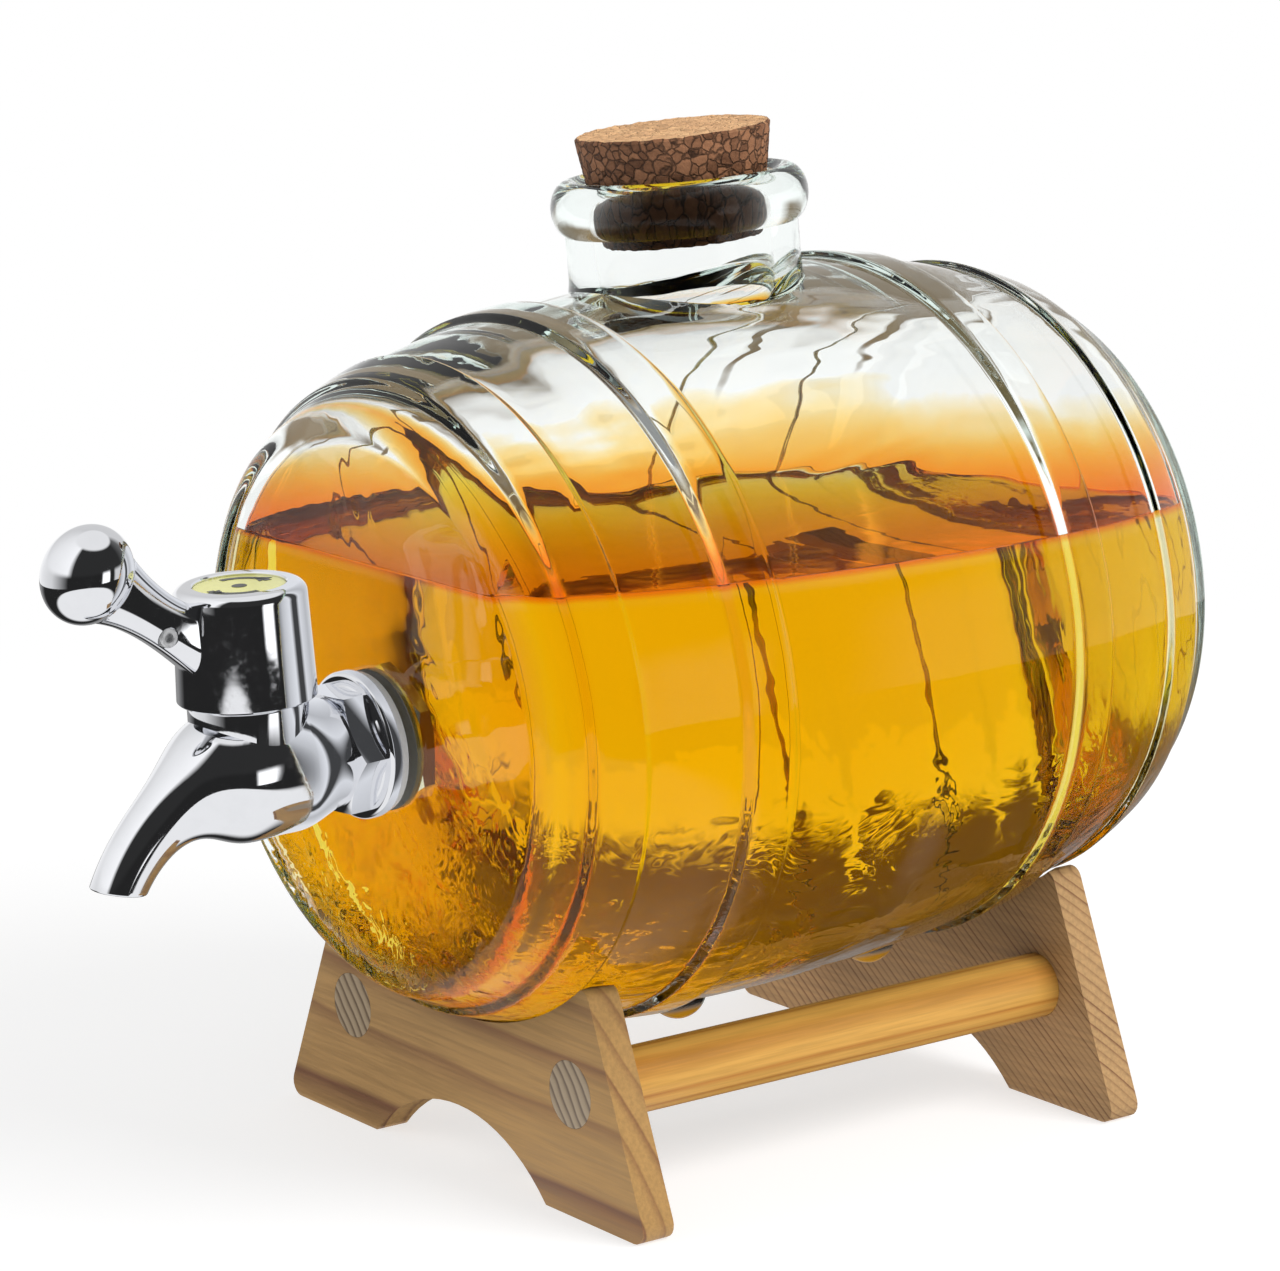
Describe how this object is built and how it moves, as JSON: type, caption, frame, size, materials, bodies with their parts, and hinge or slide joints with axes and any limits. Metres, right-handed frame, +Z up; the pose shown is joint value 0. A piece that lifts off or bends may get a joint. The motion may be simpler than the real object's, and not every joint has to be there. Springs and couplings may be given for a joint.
{
  "type": "glass barrel dispenser",
  "caption": "Hooped glass barrel with a lipped neck and cork, lying on a pine cradle stand, with a chromed lever tap in its front face for drawing off a drink.",
  "frame": {"origin": "on the table under the middle of the whole object, at the bottom of the stand's feet", "axes": "+Z up, the barrel lies along Y with its tap towards -Y, +X to the right seen from the tap's side"},
  "size_m": [0.1298, 0.2162, 0.1837],
  "materials": {
    "clear_glass": "clear, gloss",
    "cork": "agglomerated cork, matt",
    "pine": "planed pine, bare",
    "dowel_pine": "turned pine, satin",
    "chrome_plate": "mirror chrome",
    "steel": "bright zinc",
    "brass": "machined",
    "seal_rubber": "pale silicone rubber",
    "sign_yellow": "printed label"
  },
  "bodies": {
    "stand": {"front_plate": "pine", "rear_plate": "pine", "left_dowel": "dowel_pine", "right_dowel": "dowel_pine"},
    "barrel": {"glass_barrel": "clear_glass", "tap_body": "chrome_plate", "outer_seal": "seal_rubber", "inner_seal": "seal_rubber", "seal_washer": "steel", "lock_nut": "chrome_plate", "plug_retainer": "brass"},
    "cork": {"cork_stopper": "cork"},
    "handle": {"tap_handle": "chrome_plate", "valve_plug": "brass", "plug_seals": "seal_rubber", "handle_screw": "steel", "sign_disc": "sign_yellow", "lever_set_screw": "steel"}
  },
  "joints": [
    {"name": "barrel_lift", "type": "slide", "parent": "stand", "child": "barrel", "axis": [0, 0, 1], "range_m": [0, 0.06]},
    {"name": "cork_pull", "type": "slide", "parent": "barrel", "child": "cork", "axis": [-0.0593, -0.0557, 0.9967], "range_m": [0, 0.04]},
    {"name": "handle_turn", "type": "hinge", "parent": "barrel", "child": "handle", "pos_m": [0, -0.06916, 0.07946], "axis": [0, -0.0558, 0.9984], "range_deg": [0, 90]}
  ]
}
